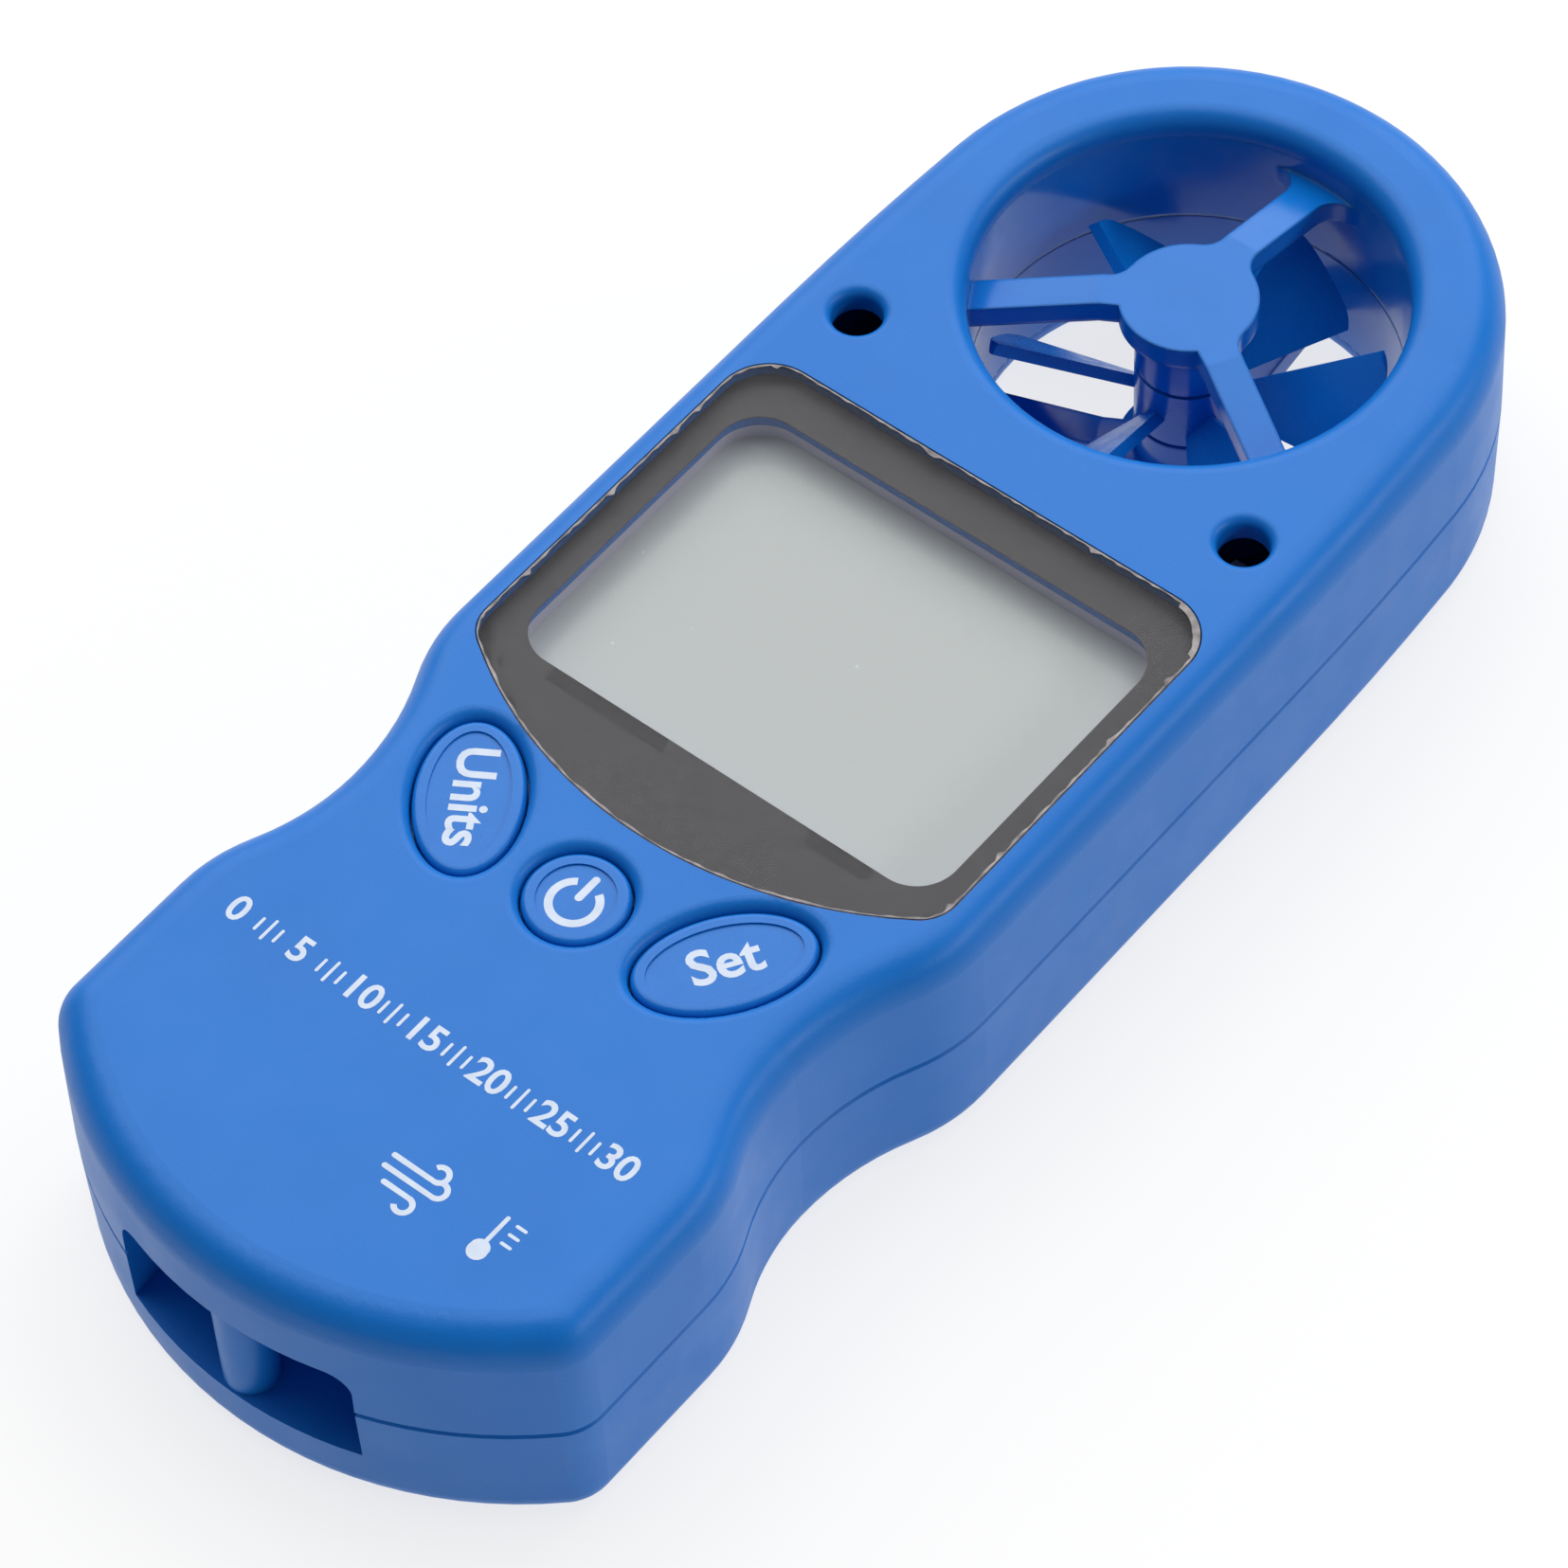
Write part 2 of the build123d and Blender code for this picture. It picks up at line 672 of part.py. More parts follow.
with BuildPart() as pickup_lead:
    with BuildSketch(lead_plane):
        with Locations((sensor_offset - lead_thickness / 2, 0)):
            Rectangle(throat_radius, lead_width, align=(Align.MIN, Align.CENTER))
    extrude(amount=parting_height)
    add(arm_layer(-1, parting_height - guard_recess, 0, lead_thickness), mode=Mode.INTERSECT)
    with BuildSketch(lead_plane.offset(guard_recess + lead_thickness / 2)):
        with Locations((sensor_offset, 0)):
            Rectangle(lead_thickness, lead_width)
    extrude(amount=pickup_low - guard_recess - lead_thickness / 2)
    with BuildSketch(lead_plane.offset(lead_exit)):
        with Locations((throat_radius, 0)):
            Rectangle(
                lead_corner_radius - throat_radius,
                lead_width,
                align=(Align.MIN, Align.CENTER),
            )
    extrude(amount=lead_thickness)
    with BuildSketch(Plane.XY.offset(lead_exit)):
        with Locations((lead_corner_x, lead_board_y)):
            Rectangle(
                lead_width,
                lead_corner_y - lead_board_y,
                align=(Align.CENTER, Align.MIN),
            )
    extrude(amount=lead_thickness)
    with BuildSketch(Plane.XY.offset(lead_exit)):
        with Locations((lead_corner_x, lead_board_y)):
            Rectangle(lead_width, lead_thickness, align=(Align.CENTER, Align.MIN))
    extrude(amount=board_low - lead_exit)
put_out(pickup_lead.part, "pickup_lead")

with BuildPart() as pickup_sensor:
    with BuildSketch(lead_plane.offset(pickup_low)):
        with Locations((sensor_offset, 0)):
            Rectangle(sensor_width, sensor_length)
    extrude(amount=sensor_height)
put_out(pickup_sensor.part, "pickup_sensor")

with BuildPart() as rear_guard:
    add(duct_half(-1, parting_height, parting_height - rear_cup))
    add(pickup_lead.part, mode=Mode.SUBTRACT)
    with BuildSketch(lead_plane.offset(pickup_low)):
        with Locations((sensor_offset, 0)):
            Rectangle(sensor_width, sensor_length)
    extrude(amount=rear_cup - pickup_low, mode=Mode.SUBTRACT)
put_out(rear_guard.part, "rear_guard")

# ---------------------------------------------------------------- impeller
blade_root_low = impeller_low + blade_hub_low_inset
blade_root_high = impeller_high - blade_hub_high_inset
blade_root = hub_radius - blade_root_bury
blade_end = impeller_radius + blade_end_spare


def blade_section(distance, low, high, pitch):
    """Plane and chord of a blade at a distance from the axis; the top edge leads."""
    section = Plane(origin=(distance, 0, (low + high) / 2), x_dir=(0, 1, 0), z_dir=(1, 0, 0))
    return section, (high - low) / sin(radians(pitch))


with BuildPart() as blade:
    root_plane, root_chord = blade_section(
        blade_root, blade_root_low, blade_root_high, blade_root_pitch
    )
    tip_plane, tip_chord = blade_section(blade_end, blade_low, blade_high, blade_tip_pitch)
    with BuildSketch(root_plane):
        Rectangle(root_chord, blade_thickness, rotation=blade_root_pitch)
    with BuildSketch(tip_plane):
        Rectangle(tip_chord, blade_thickness, rotation=blade_tip_pitch)
    loft(ruled=True)

with BuildPart() as swept_space:
    with BuildSketch(Plane.XY.offset(blade_low)):
        with Locations((0, vane_y)):
            Circle(impeller_radius)
    extrude(amount=blade_high - blade_low)
    fillet(swept_space.edges().filter_by(GeomType.CIRCLE), blade_corner_radius)

with BuildPart() as impeller:
    with Locations((0, vane_y)):
        with PolarLocations(0, blade_count, start_angle=blade_angle):
            add(blade.part)
    add(swept_space.part, mode=Mode.INTERSECT)
    with BuildSketch(Plane.XY.offset(impeller_low)):
        with Locations((0, vane_y)):
            Circle(hub_radius)
    extrude(amount=impeller_high - impeller_low)
    with BuildSketch(Plane.XY.offset(impeller_low)):
        with Locations((0, vane_y)):
            Circle(magnet_radius)
            Circle(magnet_bore, mode=Mode.SUBTRACT)
    extrude(amount=magnet_thickness, mode=Mode.SUBTRACT)
    with BuildSketch(Plane.XY.offset(impeller_low)):
        with Locations((0, vane_y)):
            Circle(shaft_radius)
    extrude(amount=impeller_high - impeller_low, mode=Mode.SUBTRACT)
put_out(impeller.part, "impeller")

with BuildPart() as impeller_magnet:
    with BuildSketch(Plane.XY.offset(impeller_low)):
        with Locations((0, vane_y)):
            Circle(magnet_radius)
            Circle(magnet_bore, mode=Mode.SUBTRACT)
    extrude(amount=magnet_thickness)
put_out(impeller_magnet.part, "impeller_magnet")

with BuildPart() as impeller_shaft:
    with BuildSketch(Plane.XY.offset(rear_cup - shaft_overlap)):
        with Locations((0, vane_y)):
            Circle(shaft_radius)
    extrude(amount=front_cup - rear_cup + 2 * shaft_overlap)
put_out(impeller_shaft.part, "impeller_shaft")

# ---------------------------------------------------------------- window and display
window_layers = {
    "window_tape": (seat_top, tape_thickness),
    "window_mask": (seat_top + tape_thickness, mask_thickness),
    "display_window": (seat_top + tape_thickness + mask_thickness, lens_thickness),
    "window_film": (body_thickness - film_thickness, film_thickness),
}
for layer_name, (layer_low, layer_thickness) in window_layers.items():
    with BuildPart() as window_layer:
        with BuildSketch(Plane.XY.offset(layer_low)):
            add(window_outline.sketch)
            if layer_name == "window_mask":
                add(view_outline.sketch, mode=Mode.SUBTRACT)
            if layer_name == "window_tape":
                with BuildSketch(mode=Mode.SUBTRACT):
                    add(window_outline.sketch)
                    offset(amount=-tape_width)
        extrude(amount=layer_thickness)
    put_out(window_layer.part, layer_name)

with BuildPart() as lcd_panel:
    with BuildSketch(Plane.XY.offset(lcd_low)):
        with Locations((0, lcd_mid)):
            Rectangle(2 * lcd_half, lcd_top - lcd_bottom)
    extrude(amount=lcd_thickness)
put_out(lcd_panel.part, "lcd_panel")

with BuildPart() as lcd_holder:
    with BuildSketch(Plane.XY.offset(board_top)):
        with Locations((0, lcd_mid)):
            Rectangle(
                2 * (lcd_half + fit_clearance + holder_wall),
                lcd_top - lcd_bottom + 2 * (fit_clearance + holder_wall),
            )
    extrude(amount=seat_low - board_top)
    with BuildSketch(Plane.XY.offset(board_top)):
        with Locations((0, lcd_mid)):
            Rectangle(
                2 * (lcd_half + fit_clearance),
                lcd_top - lcd_bottom + 2 * fit_clearance,
            )
    extrude(amount=lcd_high - board_top, mode=Mode.SUBTRACT)
    with BuildSketch(Plane.XY.offset(lcd_high)):
        add(view_outline.sketch)
        offset(amount=lcd_border / 2)
    extrude(amount=holder_lip, mode=Mode.SUBTRACT)
put_out(lcd_holder.part, "lcd_holder")

strips = {"zebra_strip": lcd_bottom + zebra_width, "lcd_pad": lcd_top - zebra_width}
for strip_name, strip_y in strips.items():
    with BuildPart() as strip:
        with BuildSketch(Plane.XY.offset(board_top)):
            with Locations((0, strip_y)):
                Rectangle(2 * board_half - zebra_width, zebra_width)
        extrude(amount=lcd_low - board_top)
    put_out(strip.part, strip_name)

# ---------------------------------------------------------------- keys and their switches
switch_top = board_top + switch_height
plunger_top = switch_top + plunger_stand
for key_name, key_place in key_places.items():
    with BuildPart() as key:
        with BuildSketch(Plane.XY.offset(flange_low)):
            add(key_outline(key_name, 0))
        extrude(amount=key_top - flange_low)
        fillet(key.faces().sort_by(Axis.Z)[-1].edges(), key_rim)
        with BuildSketch(Plane.XY.offset(key_top - key_dish)):
            add(key_outline(key_name, -2 * key_rim))
        extrude(amount=key_dish, mode=Mode.SUBTRACT)
        with BuildSketch(Plane.XY.offset(flange_low)):
            add(key_outline(key_name, key_flange))
        extrude(amount=key_flange_thickness)
        with BuildSketch(Plane.XY.offset(plunger_top)):
            with Locations(key_place):
                Circle(stem_radius)
        extrude(amount=flange_low - plunger_top)
    put_out(key.part, f"{key_name}_key")
    with BuildPart() as switch:
        with BuildSketch(Plane.XY.offset(board_top)):
            with Locations(key_place):
                Rectangle(switch_size, switch_size)
        extrude(amount=switch_height)
        with BuildSketch(Plane.XY.offset(switch_top)):
            with Locations(key_place):
                Circle(plunger_radius + plunger_clearance)
        extrude(amount=-(plunger_depth + 2 * key_travel), mode=Mode.SUBTRACT)
    put_out(switch.part, f"{key_name}_switch")
    with BuildPart() as plunger:
        with BuildSketch(Plane.XY.offset(switch_top - plunger_depth)):
            with Locations(key_place):
                Circle(plunger_radius)
        extrude(amount=plunger_depth + plunger_stand)
    put_out(plunger.part, f"{key_name}_plunger")

# ---------------------------------------------------------------- board
ear_low = board_head - ear_root

with BuildPart() as main_board:
    with BuildSketch(Plane.XY.offset(board_low)):
        with Locations((0, board_end)):
            Rectangle(2 * board_half, board_head - board_end, align=(Align.CENTER, Align.MIN))
        with Locations((vent_x, ear_low), (-vent_x, ear_low)):
            Rectangle(
                ear_width,
                vent_y + ear_width / 2 - ear_low,
                align=(Align.CENTER, Align.MIN),
            )
        with Locations((0, vane_y)):
            Circle(sleeve_radius + wall, mode=Mode.SUBTRACT)
        with Locations(*case_bosses[:2]):
            Circle(boss_radius + 3 * fit_clearance, mode=Mode.SUBTRACT)
        with Locations(*board_screws):
            Circle(board_screw_radius, mode=Mode.SUBTRACT)
    extrude(amount=board_thickness)
put_out(main_board.part, "main_board")

with BuildPart() as controller_chip:
    with BuildSketch(Plane.XY.offset(board_low - chip_height)):
        Rectangle(chip_size, chip_size)
    extrude(amount=chip_height)
    chamfer(controller_chip.edges().filter_by(Axis.Z), chip_size / 20)
put_out(controller_chip.part, "controller_chip")

with BuildPart() as timing_crystal:
    with BuildSketch(Plane.XZ.offset(crystal_length / 2)):
        with Locations((chip_size, board_low - crystal_radius)):
            Circle(crystal_radius)
    extrude(amount=-crystal_length)
put_out(timing_crystal.part, "timing_crystal")

with BuildPart() as board_capacitors:
    with BuildSketch(Plane.XY.offset(board_low - capacitor_height)):
        with Locations((-chip_size, chip_size / 2), (-chip_size, -chip_size / 2)):
            Circle(capacitor_radius)
    extrude(amount=capacitor_height)
put_out(board_capacitors.part, "board_capacitors")

with BuildPart() as temperature_sensor:
    with BuildSketch(Plane.XY.offset(board_top)):
        with Locations((-vent_x, vent_y)):
            Circle(thermistor_radius / 2)
    extrude(amount=thermistor_height - thermistor_radius)
    with Locations((-vent_x, vent_y, board_top + thermistor_height - thermistor_radius)):
        Sphere(thermistor_radius)
put_out(temperature_sensor.part, "temperature_sensor")

with BuildPart() as humidity_sensor:
    with BuildSketch(Plane.XY.offset(board_top)):
        with Locations((vent_x, vent_y)):
            Rectangle(humidity_size, humidity_size)
    extrude(amount=humidity_height)
    with BuildSketch(Plane.XY.offset(board_top + humidity_height)):
        with Locations((vent_x, vent_y)):
            Circle(humidity_size / 4)
    extrude(amount=-humidity_height / 3, mode=Mode.SUBTRACT)
put_out(humidity_sensor.part, "humidity_sensor")


# ---------------------------------------------------------------- screws
def screw_group(places, seat, head, shank, length):
    """Screws that point up from a seat: round heads with a cross recess under it."""
    head_radius_here, head_height = head
    with BuildPart() as group:
        with BuildSketch(Plane.XY.offset(seat - head_height)):
            with Locations(*places):
                Circle(head_radius_here)
        extrude(amount=head_height)
        with BuildSketch(Plane.XY.offset(seat)):
            with Locations(*places):
                Circle(shank)
        extrude(amount=length)
        with BuildSketch(Plane.XY.offset(seat - head_height)):
            with Locations(*places):
                Rectangle(head_radius_here, drive_slot_width)
                Rectangle(drive_slot_width, head_radius_here)
        extrude(amount=drive_slot_depth, mode=Mode.SUBTRACT)
    return group.part


put_out(
    screw_group(
        case_bosses,
        case_screw_depth,
        (case_screw_head_radius, case_screw_head_height),
        case_screw_radius,
        case_screw_length,
    ),
    "case_screws",
)
put_out(
    screw_group(
        board_screws,
        board_low,
        (board_screw_head_radius, board_screw_head_height),
        board_screw_radius,
        board_screw_length,
    ),
    "board_screws",
)

# ---------------------------------------------------------------- battery and its door
with BuildPart() as coin_cell:
    with BuildSketch(Plane.XY.offset(cell_low)):
        with Locations((0, cell_y)):
            Circle(cell_radius)
    extrude(amount=cell_thickness - cell_cap_height)
    fillet(coin_cell.edges().filter_by(GeomType.CIRCLE), cell_cap_height)
    with BuildSketch(Plane.XY.offset(cell_high - cell_cap_height)):
        with Locations((0, cell_y)):
            Circle(cell_cap_radius)
    extrude(amount=cell_cap_height)
put_out(coin_cell.part, "coin_cell")

with BuildPart() as battery_inner_contact:
    with BuildSketch(Plane.XY.offset(cell_high)):
        with Locations((0, cell_y)):
            Rectangle(
                contact_width,
                contact_leg_y + contact_thickness - cell_y,
                align=(Align.CENTER, Align.MIN),
            )
    extrude(amount=contact_thickness)
    with BuildSketch(Plane.XY.offset(cell_high)):
        with Locations((0, contact_leg_y)):
            Rectangle(contact_width, contact_thickness, align=(Align.CENTER, Align.MIN))
    extrude(amount=board_low - cell_high)
put_out(battery_inner_contact.part, "battery_inner_contact")

with BuildPart() as battery_rim_contact:
    with BuildSketch(Plane.XY.offset(tab_room + fit_clearance)):
        with Locations((0, rim_contact_y)):
            Rectangle(contact_width, contact_thickness, align=(Align.CENTER, Align.MIN))
    extrude(amount=board_low - tab_room - fit_clearance)
put_out(battery_rim_contact.part, "battery_rim_contact")

with BuildPart() as battery_door:
    with BuildSketch(Plane.XY.offset(door_inset)):
        with Locations((0, cell_y)):
            Circle(door_radius)
    extrude(amount=door_thickness)
    with BuildSketch(Plane.XY.offset(door_inset)):
        with Locations((0, cell_y)):
            Circle(door_radius)
            Circle(cell_radius + cell_clearance, mode=Mode.SUBTRACT)
    extrude(amount=tab_top - door_inset)
    with BuildSketch(Plane.XY.offset(wall + fit_clearance)):
        with Locations((0, cell_y)):
            with PolarLocations(0, 2):
                add(ring_sector(door_radius - wall / 2, tab_radius, door_tab_angle))
    extrude(amount=door_tab_thickness)
    with BuildSketch(Plane.XY.offset(door_inset)):
        with Locations((0, cell_y)):
            SlotOverall(door_slot_length, door_slot_width, rotation=90)
    extrude(amount=door_slot_depth, mode=Mode.SUBTRACT)
put_out(battery_door.part, "battery_door")
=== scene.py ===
# %% [markdown]
# # A handheld weather meter, finished around its CAD frame
# The CAD model already holds the case, the vane duct, the keys and every moving part at
# their true sizes. This lesson adds what a camera sees: worked plastic, the window with its
# peeling film, printed marks, light and a camera. We load the frame first, because each
# piece takes its place from a CAD node's box.

# %% Load the frame
import math
import random

import bmesh
import bpy
from mathutils import Matrix, Vector


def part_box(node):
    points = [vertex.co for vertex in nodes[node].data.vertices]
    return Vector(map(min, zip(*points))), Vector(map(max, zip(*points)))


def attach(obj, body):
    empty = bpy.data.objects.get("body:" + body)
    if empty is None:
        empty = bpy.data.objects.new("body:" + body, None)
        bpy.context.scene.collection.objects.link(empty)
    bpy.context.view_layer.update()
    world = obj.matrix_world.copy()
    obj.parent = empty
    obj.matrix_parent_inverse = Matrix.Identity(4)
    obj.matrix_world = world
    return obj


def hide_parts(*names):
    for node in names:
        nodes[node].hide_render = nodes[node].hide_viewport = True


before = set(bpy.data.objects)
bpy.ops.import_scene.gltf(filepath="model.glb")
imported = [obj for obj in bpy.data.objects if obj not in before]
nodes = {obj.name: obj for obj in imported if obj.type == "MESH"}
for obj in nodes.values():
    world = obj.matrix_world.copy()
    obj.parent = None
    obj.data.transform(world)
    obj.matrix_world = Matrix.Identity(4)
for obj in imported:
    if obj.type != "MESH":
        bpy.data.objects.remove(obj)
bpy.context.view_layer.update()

# %% [markdown]
# ## Places that everything else uses
# A millimetre is the natural unit of this object, so one value turns it into metres. The
# face, the window and the key tops are read from the boxes of the CAD nodes, so that a
# change in the CAD model carries through.

# %% Places from the frame
MM = 0.001
face_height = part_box("front_shell")[1].z
seam_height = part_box("rear_shell")[1].z
window_low, window_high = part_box("display_window")
print("face:", face_height, "seam:", seam_height, "window:", window_low, window_high)

# %% [markdown]
# ## The camera
# The meter is seen from above its lower right corner through a long lens. The camera looks
# along a line given by a turn and a height, and rolls a few degrees. A long lens far away
# is chosen over a near camera, because the sides of the case then stay almost parallel.

# %% Camera
view_turn, view_height, view_roll = (math.radians(a) for a in (42.0213, 53.3295, 3.4832))
view_distance = 457.272 * MM
view_target = Vector((5.254, -11.2, 21.0)) * MM
backward = Vector((
    math.sin(view_turn) * math.cos(view_height),
    -math.cos(view_turn) * math.cos(view_height),
    math.sin(view_height),
))
level = Vector((math.cos(view_turn), math.sin(view_turn), 0))
upright = backward.cross(level)
rolled_right = math.cos(view_roll) * level - math.sin(view_roll) * upright
rolled_up = math.sin(view_roll) * level + math.cos(view_roll) * upright

camera_data = bpy.data.cameras.new("camera")
camera_data.sensor_width = 36
camera_data.lens = 154.53
camera_data.clip_start = 0.01
camera = bpy.data.objects.new("camera", camera_data)
bpy.context.scene.collection.objects.link(camera)
turn = Matrix((rolled_right, rolled_up, backward)).transposed().to_4x4()
camera.matrix_world = Matrix.Translation(view_target + backward * view_distance) @ turn
bpy.context.scene.camera = camera
print("camera at", camera.matrix_world.translation)

# %% [markdown]
# ## Floor and light
# Small goods like this one are lit on a light table: a milky sheet that glows from below, so
# that no hard shadow falls and the gaps between the blades read as white. Above it hangs one
# large softbox, behind the head on the left. It puts a sheen on the face and leaves the two
# sides that we see in half shade. A long strip on the right draws a fine line of light along
# the rounded edges. Plain colour management keeps the white sheet white.

# %% Helpers for objects and lamps
def new_object(name, sketch):
    """Make an object from a bmesh and put it in the scene."""
    mesh = bpy.data.meshes.new(name)
    sketch.to_mesh(mesh)
    sketch.free()
    made = bpy.data.objects.new(name, mesh)
    bpy.context.scene.collection.objects.link(made)
    return made


def soft_lamp(name, place, size, power):
    """A flat lamp, so wide and so high, that faces the middle of the scene."""
    data = bpy.data.lights.new(name, "AREA")
    data.shape = "RECTANGLE"
    data.size, data.size_y = size
    data.energy = power
    lamp = bpy.data.objects.new(name, data)
    bpy.context.scene.collection.objects.link(lamp)
    lamp.location = place
    lamp.rotation_euler = (-Vector(place)).to_track_quat("-Z", "Y").to_euler()
    return lamp


print("object and lamp helpers ready")

# %% [markdown]
# The floor lies a hair below the case, because two faces in one plane would flicker. Most of
# its light is its own glow, and the rest is what it sends back, which leaves a faint shade
# round the foot.

# %% Floor and light
bpy.context.scene.view_settings.view_transform = "Standard"
half_floor = 3.0
floor_drop = 0.02 * MM

sheet = bmesh.new()
bmesh.ops.create_grid(sheet, x_segments=1, y_segments=1, size=half_floor)
floor = new_object("floor", sheet)
floor.location.z = -floor_drop
floor_glow = bpy.data.materials.new("floor_glow")
floor_glow.use_nodes = True
floor_shader = floor_glow.node_tree.nodes["Principled BSDF"]
floor_shader.inputs["Base Color"].default_value = (0.22, 0.22, 0.22, 1)
floor_shader.inputs["Roughness"].default_value = 0.9
floor_shader.inputs["Specular IOR Level"].default_value = 0.1
floor_shader.inputs["Emission Color"].default_value = (1, 1, 1, 1)
floor_shader.inputs["Emission Strength"].default_value = 0.76
floor.data.materials.append(floor_glow)

world = bpy.data.worlds.new("world")
bpy.context.scene.world = world
world.use_nodes = True
world.node_tree.nodes["Background"].inputs["Color"].default_value = (0.96, 0.98, 1, 1)
world.node_tree.nodes["Background"].inputs["Strength"].default_value = 0.17

soft_lamp("softbox", (-0.42, 0.50, 0.95), (1.9, 1.9), 26.0)
soft_lamp("side_strip", (0.96, 0.53, 0.50), (0.9, 0.10), 3.8)
print("lamps:", len(bpy.data.lights))

# %% [markdown]
# ## Helpers for materials
# Every finish starts from the same shader. What is the same all over is set on the shader's
# own sockets. Only what varies gets nodes: a wandering colour, a wandering gloss, a fine
# grain as bump. All of them read Object coordinates, so they sit still on the piece.

# %% Material helpers
def plain(name, colour, roughness, **sockets):
    """A shader with even values; extra sockets go by their names, with _ for a space."""
    material = bpy.data.materials.new(name)
    material.use_nodes = True
    shader = material.node_tree.nodes["Principled BSDF"]
    shader.inputs["Base Color"].default_value = (*colour, 1)
    shader.inputs["Roughness"].default_value = roughness
    for socket, value in sockets.items():
        shader.inputs[socket.replace("_", " ")].default_value = value
    return material


def feed(material, value, socket):
    """Plug a value into the shader."""
    tree = material.node_tree
    tree.links.new(value, tree.nodes["Principled BSDF"].inputs[socket])


def noise(material, size, detail=2.0):
    """A noise whose grains are about `size` wide."""
    tree = material.node_tree
    place = tree.nodes.new("ShaderNodeTexCoord")
    texture = tree.nodes.new("ShaderNodeTexNoise")
    texture.inputs["Scale"].default_value = 1 / size
    texture.inputs["Detail"].default_value = detail
    tree.links.new(place.outputs["Object"], texture.inputs["Vector"])
    return texture.outputs["Fac"]


def spread(material, value, span, goal):
    """Stretch a value from one range to another."""
    tree = material.node_tree
    ranged = tree.nodes.new("ShaderNodeMapRange")
    ranged.inputs["From Min"].default_value, ranged.inputs["From Max"].default_value = span
    ranged.inputs["To Min"].default_value, ranged.inputs["To Max"].default_value = goal
    tree.links.new(value, ranged.inputs["Value"])
    return ranged.outputs["Result"]


def blend_colours(material, factor, first, second):
    """Mix two colours by a factor and colour the shader with them."""
    tree = material.node_tree
    mix = tree.nodes.new("ShaderNodeMix")
    mix.data_type = "RGBA"
    mix.inputs["A"].default_value = (*first, 1)
    mix.inputs["B"].default_value = (*second, 1)
    tree.links.new(factor, mix.inputs["Factor"])
    feed(material, mix.outputs["Result"], "Base Color")


middle_of_noise = (0.3, 0.7)


def mottle(material, first, second, size):
    """Let the colour wander between two near tones."""
    wander = spread(material, noise(material, size), middle_of_noise, (0, 1))
    blend_colours(material, wander, first, second)


def wear(material, size, smooth, rough):
    """Let the roughness wander, as handling polishes it."""
    wander = noise(material, size)
    feed(material, spread(material, wander, middle_of_noise, (smooth, rough)), "Roughness")


def relief(material, height, depth):
    """A bump from a 0 to 1 height, so many metres deep."""
    tree = material.node_tree
    bump = tree.nodes.new("ShaderNodeBump")
    bump.inputs["Distance"].default_value = depth
    tree.links.new(height, bump.inputs["Height"])
    feed(material, bump.outputs["Normal"], "Normal")
    return bump


def dress(material, *names):
    """Give a material to CAD nodes."""
    for name in names:
        slots = nodes[name].data.materials
        slots.clear()
        slots.append(material)


print("material helpers ready")

# %% [markdown]
# ## Blue plastics
# The case is moulded ABS with a spark-eroded skin: a saturated blue whose grains are about
# a fifth of a millimetre, which breaks the sheen along rounded edges into speckles. The
# duct and the impeller come from polished moulds, so they are glossier and almost without
# grain, and the keys lie between.

# %% Blue plastics
blue, deep_blue = (0.003, 0.158, 0.57), (0.003, 0.150, 0.545)

case_plastic = plain("case_plastic", blue, 0.40, Specular_IOR_Level=0.3)
mottle(case_plastic, blue, deep_blue, 9 * MM)
wear(case_plastic, 4 * MM, 0.36, 0.44)
relief(case_plastic, noise(case_plastic, 0.22 * MM, 3.0), 0.012 * MM)

duct_plastic = plain("duct_plastic", blue, 0.22, Specular_IOR_Level=0.35)
mottle(duct_plastic, blue, deep_blue, 4 * MM)
wear(duct_plastic, 2 * MM, 0.16, 0.26)

impeller_plastic = plain("impeller_plastic", blue, 0.25, Specular_IOR_Level=0.35)
mottle(impeller_plastic, blue, deep_blue, 4 * MM)
wear(impeller_plastic, 1.5 * MM, 0.2, 0.3)

key_plastic = plain("key_plastic", blue, 0.28, Specular_IOR_Level=0.35)
mottle(key_plastic, blue, deep_blue, 3 * MM)
wear(key_plastic, 1.5 * MM, 0.24, 0.32)
relief(key_plastic, noise(key_plastic, 0.3 * MM), 0.006 * MM)

dress(case_plastic, "front_shell", "rear_shell", "battery_door")
dress(duct_plastic, "front_guard", "rear_guard")
dress(impeller_plastic, "impeller")
dress(key_plastic, "units_key", "power_key", "set_key")
print("blue plastics:", case_plastic.name, duct_plastic.name, key_plastic.name)

# %% [markdown]
# ## The duct's soft edges and its seam
# A mould leaves no sharp edge on a spoke, and the two halves of the duct meet in a fine ring.
# Both could be cut into the shape, but they are a fraction of a millimetre, so the shading
# does it: a bevel node bends the light at every edge, and a bump sinks a groove where the
# height is near that of the seam.

# %% Duct edges and seam
edge_radius = 0.4 * MM
groove_depth = 0.12 * MM
groove_flank = (0.04 * MM, 0.16 * MM)

duct_tree = duct_plastic.node_tree
duct_place = duct_tree.nodes.new("ShaderNodeTexCoord")
along_axis = duct_tree.nodes.new("ShaderNodeSeparateXYZ")
duct_tree.links.new(duct_place.outputs["Object"], along_axis.inputs["Vector"])
from_seam = duct_tree.nodes.new("ShaderNodeMath")
from_seam.operation = "SUBTRACT"
from_seam.inputs[1].default_value = seam_height
duct_tree.links.new(along_axis.outputs["Z"], from_seam.inputs[0])
seam_gap = duct_tree.nodes.new("ShaderNodeMath")
seam_gap.operation = "ABSOLUTE"
duct_tree.links.new(from_seam.outputs["Value"], seam_gap.inputs[0])

